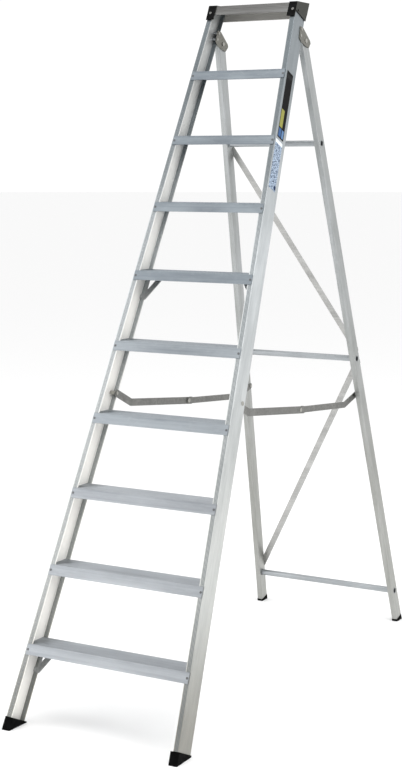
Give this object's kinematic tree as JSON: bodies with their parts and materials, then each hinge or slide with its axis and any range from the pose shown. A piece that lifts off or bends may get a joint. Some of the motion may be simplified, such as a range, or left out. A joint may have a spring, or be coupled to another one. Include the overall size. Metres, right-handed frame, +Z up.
{
  "type": "orchard stepladder",
  "caption": "Aluminium swing-back orchard stepladder with ribbed treads, tapered channel stiles, braced rear frame and folding locking stays",
  "frame": {"origin": "on the floor, in the middle of the open ladder's footprint", "axes": "+X the climber's right, +Y from the climber towards the rear frame, +Z up"},
  "size_m": [0.6302, 1.748, 2.3249],
  "materials": {
    "front_foot_left": "matt moulded",
    "front_foot_right": "matt moulded",
    "hinge_bushes": "zinc plated",
    "hinge_pins": "zinc plated",
    "hinge_plate_inner_left": "zinc plated",
    "hinge_plate_inner_right": "zinc plated",
    "hinge_plate_outer_left": "zinc plated",
    "hinge_plate_outer_right": "zinc plated",
    "hinge_rivets": "zinc plated",
    "hinge_spacers": "drawn tube",
    "rear_brace_lower": "mill finish extrusion",
    "rear_brace_rivets": "satin",
    "rear_brace_upper": "mill finish extrusion",
    "rear_foot_left": "matt moulded",
    "rear_foot_right": "matt moulded",
    "rear_leg_left": "mill finish extrusion",
    "rear_leg_right": "mill finish extrusion",
    "rear_rail_lower": "mill finish extrusion",
    "rear_rail_middle": "mill finish extrusion",
    "rear_rail_upper": "mill finish extrusion",
    "stay_front_link_left": "zinc plated",
    "stay_front_link_right": "zinc plated",
    "stay_front_pins": "zinc plated",
    "stay_knuckle_front_left": "zinc plated",
    "stay_knuckle_front_right": "zinc plated",
    "stay_knuckle_rear_left": "zinc plated",
    "stay_knuckle_rear_right": "zinc plated",
    "stay_rear_link_left": "zinc plated",
    "stay_rear_link_right": "zinc plated",
    "stay_rear_pins": "zinc plated",
    "stile_label_lower": "printed film",
    "stile_label_upper": "printed film",
    "stile_left": "mill finish extrusion",
    "stile_right": "mill finish extrusion",
    "top_cap": "mill finish extrusion",
    "top_cap_screws": "zinc plated",
    "top_end_left": "matt moulded",
    "top_end_right": "matt moulded",
    "tread_1": "ribbed extrusion",
    "tread_2": "ribbed extrusion",
    "tread_3": "ribbed extrusion",
    "tread_4": "ribbed extrusion",
    "tread_5": "ribbed extrusion",
    "tread_6": "ribbed extrusion",
    "tread_7": "ribbed extrusion",
    "tread_8": "ribbed extrusion",
    "tread_9": "ribbed extrusion",
    "tread_brace_1_left": "zinc plated",
    "tread_brace_1_right": "zinc plated",
    "tread_brace_6_left": "zinc plated",
    "tread_brace_6_right": "zinc plated",
    "tread_brace_rivets": "zinc plated",
    "tread_rivets_front": "satin",
    "tread_rivets_rear": "satin"
  },
  "bodies": {
    "front_section": {"front_foot_left": "front_foot_left", "front_foot_right": "front_foot_right", "hinge_pins": "hinge_pins", "hinge_plate_inner_left": "hinge_plate_inner_left", "hinge_plate_inner_right": "hinge_plate_inner_right", "hinge_plate_outer_left": "hinge_plate_outer_left", "hinge_plate_outer_right": "hinge_plate_outer_right", "hinge_rivets": "hinge_rivets", "hinge_spacers": "hinge_spacers", "stay_front_pins": "stay_front_pins", "stile_label_lower": "stile_label_lower", "stile_label_upper": "stile_label_upper", "stile_left": "stile_left", "stile_right": "stile_right", "top_cap": "top_cap", "top_cap_screws": "top_cap_screws", "top_end_left": "top_end_left", "top_end_right": "top_end_right", "tread_1": "tread_1", "tread_2": "tread_2", "tread_3": "tread_3", "tread_4": "tread_4", "tread_5": "tread_5", "tread_6": "tread_6", "tread_7": "tread_7", "tread_8": "tread_8", "tread_9": "tread_9", "tread_brace_1_left": "tread_brace_1_left", "tread_brace_1_right": "tread_brace_1_right", "tread_brace_6_left": "tread_brace_6_left", "tread_brace_6_right": "tread_brace_6_right", "tread_brace_rivets": "tread_brace_rivets", "tread_rivets_front": "tread_rivets_front", "tread_rivets_rear": "tread_rivets_rear"},
    "rear_frame": {"hinge_bushes": "hinge_bushes", "rear_brace_lower": "rear_brace_lower", "rear_brace_rivets": "rear_brace_rivets", "rear_brace_upper": "rear_brace_upper", "rear_foot_left": "rear_foot_left", "rear_foot_right": "rear_foot_right", "rear_leg_left": "rear_leg_left", "rear_leg_right": "rear_leg_right", "rear_rail_lower": "rear_rail_lower", "rear_rail_middle": "rear_rail_middle", "rear_rail_upper": "rear_rail_upper", "stay_rear_pins": "stay_rear_pins"},
    "stay_front_left": {"stay_front_link_left": "stay_front_link_left", "stay_knuckle_front_left": "stay_knuckle_front_left"},
    "stay_rear_left": {"stay_rear_link_left": "stay_rear_link_left", "stay_knuckle_rear_left": "stay_knuckle_rear_left"},
    "stay_front_right": {"stay_front_link_right": "stay_front_link_right", "stay_knuckle_front_right": "stay_knuckle_front_right"},
    "stay_rear_right": {"stay_rear_link_right": "stay_rear_link_right", "stay_knuckle_rear_right": "stay_knuckle_rear_right"}
  },
  "joints": [
    {"name": "rear_fold", "type": "hinge", "parent": "front_section", "child": "rear_frame", "pos_m": [0, 0.26339, 2.19], "axis": [1, 0, 0], "range_deg": [-37.3, 0]},
    {"name": "stay_front_left_turn", "type": "hinge", "parent": "front_section", "child": "stay_front_left", "pos_m": [-0.22506, -0.34732, 0.98834], "axis": [1, 0, 0], "range_deg": [0, 70.29]},
    {"name": "stay_rear_left_turn", "type": "hinge", "parent": "rear_frame", "child": "stay_rear_left", "pos_m": [-0.22176, 0.60985, 0.897], "axis": [1, 0, 0], "range_deg": [-69.06, 0]},
    {"name": "stay_front_right_turn", "type": "hinge", "parent": "front_section", "child": "stay_front_right", "pos_m": [0.22506, -0.34732, 0.98834], "axis": [1, 0, 0], "range_deg": [0, 70.29]},
    {"name": "stay_rear_right_turn", "type": "hinge", "parent": "rear_frame", "child": "stay_rear_right", "pos_m": [0.22176, 0.60985, 0.897], "axis": [1, 0, 0], "range_deg": [-69.06, 0]}
  ],
  "couplings": [
    {"joint": "stay_front_left_turn", "follows": "rear_fold", "ratio": -1.884},
    {"joint": "stay_rear_left_turn", "follows": "rear_fold", "ratio": 1.8508},
    {"joint": "stay_front_right_turn", "follows": "rear_fold", "ratio": -1.884},
    {"joint": "stay_rear_right_turn", "follows": "rear_fold", "ratio": 1.8508}
  ]
}
